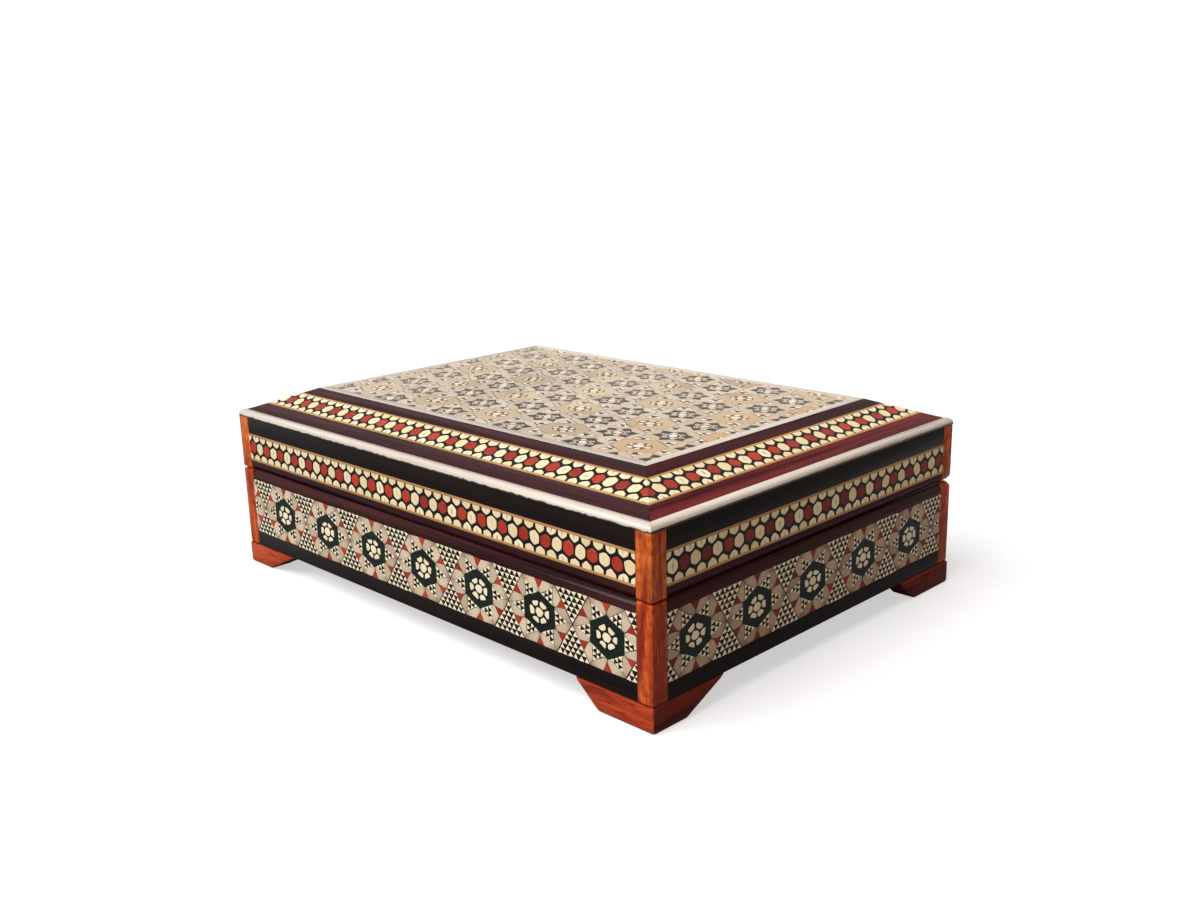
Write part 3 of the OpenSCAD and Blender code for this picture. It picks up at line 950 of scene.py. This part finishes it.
def star_tile(place):
    """One star tile: its tesserae and its grounds."""
    tesserae, grounds, add, lay = drawing(STAR_KINDS, star_side, star_squash, place)
    half = math.pi / 6
    ring_in, ring_out, tip = 0.365, 0.555, 0.87
    ring_flat, tile_flat = ring_out * math.cos(half), math.cos(half)
    point_half, red_half, red_apex, hair = 0.20, 0.125, 0.635, 0.004
    petal = [
        (0.165, -0.05), (0.225, -0.10), (0.290, -0.095),
        (0.290, 0.095), (0.225, 0.10), (0.165, 0.05),
    ]
    spoke = [(ring_in, 0), (ring_out, 0)]
    ring = turned(spoke, -half) + turned(spoke[::-1], half)
    red = [(tile_flat, -red_half), (tile_flat, red_half), (red_apex, 0)]
    add(rounded(hexagon(0.135, 0), CORNER_SHARE), "cream", 0)
    for k in range(6):
        angle = k * math.pi / 3
        add(turned(rounded(petal, 0.2), angle), "cream", 0)
        lay(turned(ring, angle), "ring")
        point = turned([(ring_flat, -point_half), (ring_flat, point_half), (tip, 0)], angle)
        for triangle in check(*point, 3):
            add(triangle, "cream")
        add(turned(red, angle + half), "red", 0.02)
        for up in (-1, 1):
            kite = [
                (ring_out, up * hair),
                *turned([(ring_flat, -up * point_half), (tip, 0), (1, 0)], up * half),
                (tile_flat, up * red_half),
                (red_apex, up * hair),
            ]
            add(turned(kite, angle + half), "kite")
    return tesserae, grounds


GAP_CHECK_HALF = 0.97 * star_side / 2
GAP_CHECK_TIP = 0.015 * band_height
star_tesserae, star_grounds = [], []
for tile in (-1, 0, 1):
    tesserae, grounds = star_tile((tile * STAR_PITCH, 0))
    star_tesserae += tesserae
    star_grounds += grounds
    tesserae, _, add, _ = drawing(STAR_KINDS, 1, 1, ((tile + 0.5) * STAR_PITCH, 0))
    for up in (-1, 1):
        edge = up * band_height / 2
        apex = (0, up * GAP_CHECK_TIP)
        for triangle in check((-GAP_CHECK_HALF, edge), (GAP_CHECK_HALF, edge), apex, 6):
            add(triangle, "cream")
    star_tesserae += tesserae
star_margin = 0.3
star_far = Vector((0.5 * STAR_PITCH, band_height / 2 + star_margin))
star_unit = sheet_mesh("star_unit", star_tesserae, -star_far, star_far, star_grounds)
star_net = (repeat_tree(STAR_KINDS), star_unit, STAR_PITCH)
star_woods = (black_ground, cream_plain, red_wood, kite_wood, ring_wood)
star_materials = dict(zip(STAR_KINDS, star_woods))
# A darker copy of the kite wood, with a darker stain, for the box's ends: painted shade on the end
# that faces away from the light.
shaded_end_kite_wood = tessera(
    "shaded_end_kite_wood", (0.36, 0.255, 0.165), (0.56, 0.42, 0.29), 0.3, stain=(0.15, 0.06, 0.04)
)
star_shaded_end_materials = {**star_materials, "red": shaded_end_red_wood, "kite": shaded_end_kite_wood}
side_mosaics(
    "base", star_net, star_materials, star_shaded_end_materials,
    (3.4, -2.9, -3.4, 2.9), 21.0,
)

# Star mosaic of the top panel --------------------
# The top carries a larger, paler net of stars. Each has a cream flower in a tan hexagon,
# six small checks on the hexagon's sides and pale kites between them. A dark six-pointed
# star with a pale heart fills every gap between three tiles. Away from the near corner the
# tan, the kites and the grey are painted paler, as glare of the bright room on the lacquer.
TOP_KINDS = ("seam", "cream", "grey", "tan", "kite", "brown", "pale")
TOP_PITCH = 23.3
TOP_ROW = 16.5
top_side = TOP_PITCH / 2
top_squash = TOP_ROW / (TOP_PITCH * math.cos(math.pi / 6))


def top_tile(place):
    """One star of the top panel: its tesserae and its grounds."""
    tesserae, grounds, add, lay = drawing(TOP_KINDS, top_side, top_squash, place)
    half = math.pi / 6
    point_base, point_half = 0.54, 0.195
    petal = [
        (0.155, -0.030), (0.19, -0.064), (0.252, -0.052),
        (0.252, 0.052), (0.19, 0.064), (0.155, 0.030),
    ]
    lay(hexagon(0.59), "tan")
    lay(rounded(hexagon(0.30, 0), 0.2), "brown")
    add(rounded(hexagon(0.115, 0), CORNER_SHARE), "cream", 0)
    for k in range(6):
        angle = k * math.pi / 3
        add(turned(rounded(petal, 0.2), angle), "cream", 0)
        point = turned([(point_base, -point_half), (point_base, point_half), (0.86, 0)], angle)
        lay(point, "grey")
        for triangle in check(*point, 2):
            add(triangle, "cream", 0.12)
        for up in (-1, 1):
            hexagon_corner, star_corner = turned([(0.60, -up * 0.012), (0.695, 0)], up * half)
            kite = [
                hexagon_corner, (point_base, up * 0.205), (0.87, up * 0.008), (1.0, up * 0.004),
                (1.0, up * 0.118), (0.842, up * 0.304), star_corner,
            ]
            add(turned(kite, angle), "kite", 0.045)
    return tesserae, grounds


def dark_star(place, up):
    """The dark star between three tiles: its tesserae and its grounds."""
    tesserae, grounds, add, lay = drawing(TOP_KINDS, top_side, top_squash, place)
    first = up * math.pi / 2
    outline = []
    for k in range(6):
        outline += turned([(0.49, 0)], first + k * math.pi / 3)
        outline += turned([(0.32, 0)], first + (k + 0.5) * math.pi / 3)
    lay(outline, "grey")
    add(turned(rounded(hexagon(0.105), CORNER_SHARE), first), "cream", 0)
    for k in range(6):
        for near, far, wide in ((0.14, 0.172, 0.08), (0.19, 0.222, 0.07), (0.24, 0.27, 0.05)):
            stripe = [(near, -wide), (far, -wide), (far, wide), (near, wide)]
            add(turned(stripe, first + (k + 0.5) * math.pi / 3), "pale", 0)
    return tesserae, grounds


top_tesserae, top_grounds = [], []
for row in range(-2, 3):
    for column in range(-2, 3):
        x, y = (column + 0.5 * (row % 2)) * TOP_PITCH, row * TOP_ROW
        for tesserae, grounds in (
            top_tile((x, y)),
            dark_star((x + TOP_PITCH / 2, y + TOP_ROW / 3), 1),
            dark_star((x + TOP_PITCH / 2, y - TOP_ROW / 3), -1),
        ):
            top_tesserae += tesserae
            top_grounds += grounds
top_unit = sheet_mesh(
    "top_unit", top_tesserae, (-TOP_PITCH / 2, -TOP_ROW), (TOP_PITCH / 2, TOP_ROW), top_grounds
)
TOP_POLISH = (1.5, 0.3)
# The grey is dark only near the near corner; elsewhere it is painted pale, as glare.
near_corner = {
    "glare_free_colour": (0.020, 0.010, 0.005), "toward": (0.7, -0.7, 0), "glare_fade": (-0.05, 0.07),
    "glare_free_share": 0.93,
}
# Tan and kite are more orange near the near corner; away from it their paler colours are painted
# glare.
top_materials = {
    kind: tessera(f"top_{kind}", dark, light, speck, polish=TOP_POLISH, **glare_settings)
    for kind, dark, light, speck, glare_settings in (
        ("seam", (0.27, 0.195, 0.13), (0.35, 0.265, 0.185), 0.2, {}),
        ("cream", (0.74, 0.64, 0.49), (0.88, 0.79, 0.64), 0.15, {}),
        ("grey", (0.15, 0.098, 0.065), (0.25, 0.175, 0.120), 0.3, near_corner),
        ("tan", (0.46, 0.345, 0.22), (0.66, 0.53, 0.365), 0.35, {"glare_free_colour": (0.54, 0.31, 0.12)}),
        ("kite", (0.50, 0.415, 0.315), (0.68, 0.585, 0.465), 0.3, {"glare_free_colour": (0.56, 0.41, 0.26)}),
        ("brown", (0.15, 0.062, 0.022), (0.22, 0.098, 0.038), 0.3, {}),
        ("pale", (0.58, 0.50, 0.40), (0.74, 0.65, 0.53), 0.3, {}),
    )
}
# One star's middle in millimetres; the sheet starts some repeats before it.
TOP_STAR = (47.5, -28.7)
TOP_WANDER = 0.0016
top_start = ((TOP_STAR[0] - 6 * TOP_PITCH) * MM, (TOP_STAR[1] - 2 * TOP_ROW) * MM)
top_flat = mosaic_sheet(
    "top_sheet", repeat_tree(TOP_KINDS), top_unit, top_materials, 8, 4,
    (TOP_PITCH * MM, 2 * TOP_ROW * MM), top_start, TOP_WANDER, 41.0,
)
top_place = Matrix.Translation((0, 0, panel_high.z)) @ sunk
laid_sheet(
    "lid_top_tesserae", [(top_flat, top_place, trims(panel_low, panel_high, "XY"))],
    "lid", "lid_top_mosaic", sheet_t,
)

# Velvet lining --------------------
# Red velvet over thin card: a soft panel on the floor and one under the lid, and four
# panels round the walls of each half. Every panel is rounded at its edges and a little
# fuller in its middle.
velvet, velvet_tree, velvet_shader = new_surface("red_velvet")
velvet_place = object_place(velvet_tree)
nap = cloud(velvet_tree, velvet_place, 90.0, 4.0)
pile = {"Height": cloud(velvet_tree, velvet_place, 4000.0), "Strength": 0.4, "Distance": 0.0001}
fill(velvet_tree, velvet_shader, {
    "Base Color": blend(velvet_tree, nap, (0.14, 0.005, 0.009), (0.21, 0.009, 0.014)),
    "Normal": node(velvet_tree, "ShaderNodeBump", pile).outputs[0],
    "Roughness": 0.95,
    "Specular IOR Level": 0.1,
    "Sheen Weight": 0.8,
    "Sheen Roughness": 0.4,
    "Sheen Tint": (0.9, 0.35, 0.38, 1),
})
PANEL_ROLL = 0.0009
SWELL_REACH = 0.004
FLOOR_FULLNESS = 0.0005
WALL_FULLNESS = 0.0003


def edge_steps(length, coarse):
    """Positions along a panel, close together near its two ends."""
    near = [0, 0.00008, 0.00022, 0.00042, 0.0007, 0.0011, 0.002]
    count = max(1, round((length - 2 * near[-1]) / coarse))
    inside = [near[-1] + (length - 2 * near[-1]) * i / count for i in range(1, count)]
    return near + inside + [length - n for n in reversed(near)]


def soft_panel(whole, place, length, width, thickness, fullness):
    """Adds to a mesh a soft panel that lies on place's XY plane, centred, and rises in Z."""
    xs, ys = edge_steps(length, 0.004), edge_steps(width, 0.002)
    rows = []
    for y in ys:
        line = []
        for x in xs:
            near = min(x, length - x, y, width - y)
            share = min(near / PANEL_ROLL, 1)
            rise = thickness * (0.25 + 0.75 * math.sqrt(1 - (1 - share) ** 2))
            rise += fullness * (1 - math.exp(-near / SWELL_REACH))
            line.append(whole.verts.new(place @ Vector((x - length / 2, y - width / 2, rise))))
        rows.append(line)
    for lower, upper in zip(rows, rows[1:]):
        for a, b, c, d in zip(lower, lower[1:], upper[1:], upper):
            whole.faces.new((a, b, c, d))
    right_edge, left_edge = [r[-1] for r in rows[1:-1]], [r[0] for r in rows[-2:0:-1]]
    border = rows[0] + right_edge + rows[-1][::-1] + left_edge
    flat = []
    for vertex in border:
        local = place.inverted() @ vertex.co
        flat.append(whole.verts.new(place @ Vector((local.x, local.y, 0))))
    for i in range(len(border)):
        j = (i + 1) % len(border)
        whole.faces.new((border[j], border[i], flat[i], flat[j]))
    whole.faces.new(flat[::-1])


def lining(old_node, body, panels):
    """One lining piece of soft panels, each with its place, size, thickness and fullness."""
    name = f"{old_node}_velvet"
    whole = bmesh.new()
    for panel in panels:
        soft_panel(whole, *panel)
    bmesh.ops.recalc_face_normals(whole, faces=whole.faces)
    mesh = bpy.data.meshes.new(name)
    whole.to_mesh(mesh)
    whole.free()
    mesh.materials.append(velvet)
    for face in mesh.polygons:
        face.use_smooth = True
    new_piece(name, mesh, body, old_node)


for body, floor_node, ring_node in (
    ("base", "base_lining_floor", "base_lining_sides"),
    ("lid", "lid_lining_top", "lid_lining_sides"),
):
    low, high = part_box(floor_node)
    room_x, room_y, card = high.x - low.x, high.y - low.y, high.z - low.z
    upside_down = Matrix.Rotation(math.pi, 4, "X") if body == "lid" else Matrix.Identity(4)
    back_z = high.z if body == "lid" else low.z
    place = Matrix.Translation((0, 0, back_z)) @ upside_down
    lining(floor_node, body, [(place, room_x, room_y, card, FLOOR_FULLNESS)])
    low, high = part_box(ring_node)
    panels = []
    for side in range(4):
        reach = room_y / 2 if side % 2 == 0 else room_x / 2
        length = room_x if side % 2 == 0 else room_y - 2 * card
        place = (
            side_turn(side)
            @ Matrix.Translation((0, -reach, (low.z + high.z) / 2))
            @ Matrix.Rotation(-math.pi / 2, 4, "X")
        )
        panels.append((place, length, high.z - low.z, card, WALL_FULLNESS))
    lining(ring_node, body, panels)

# Hinges --------------------
# Two small brass butt hinges at the back, their leaves let into the rims and held by
# countersunk brass screws, with steel pins driven fast in the base's knuckles.
def metal(name, tone, worn, rough):
    """A plain metal whose colour varies a little between two tones."""
    material, tree, shader = new_surface(name)
    place = object_place(tree)
    colour = blend(tree, cloud(tree, place, 900.0, 4.0), tone, worn)
    fill(tree, shader, {"Base Color": colour, "Metallic": 1.0, "Roughness": rough})
    return material


brass = metal("brass", (0.42, 0.28, 0.10), (0.58, 0.42, 0.18), 0.38)
steel = metal("steel", (0.45, 0.45, 0.46), (0.62, 0.62, 0.63), 0.25)
for side in ("left", "right"):
    for half in ("base", "lid"):
        finish_node(f"hinge_{side}_{half}_leaf", brass)
for half in ("base", "lid"):
    finish_node(f"hinge_{half}_screws", brass)
finish_node("hinge_pins", steel)
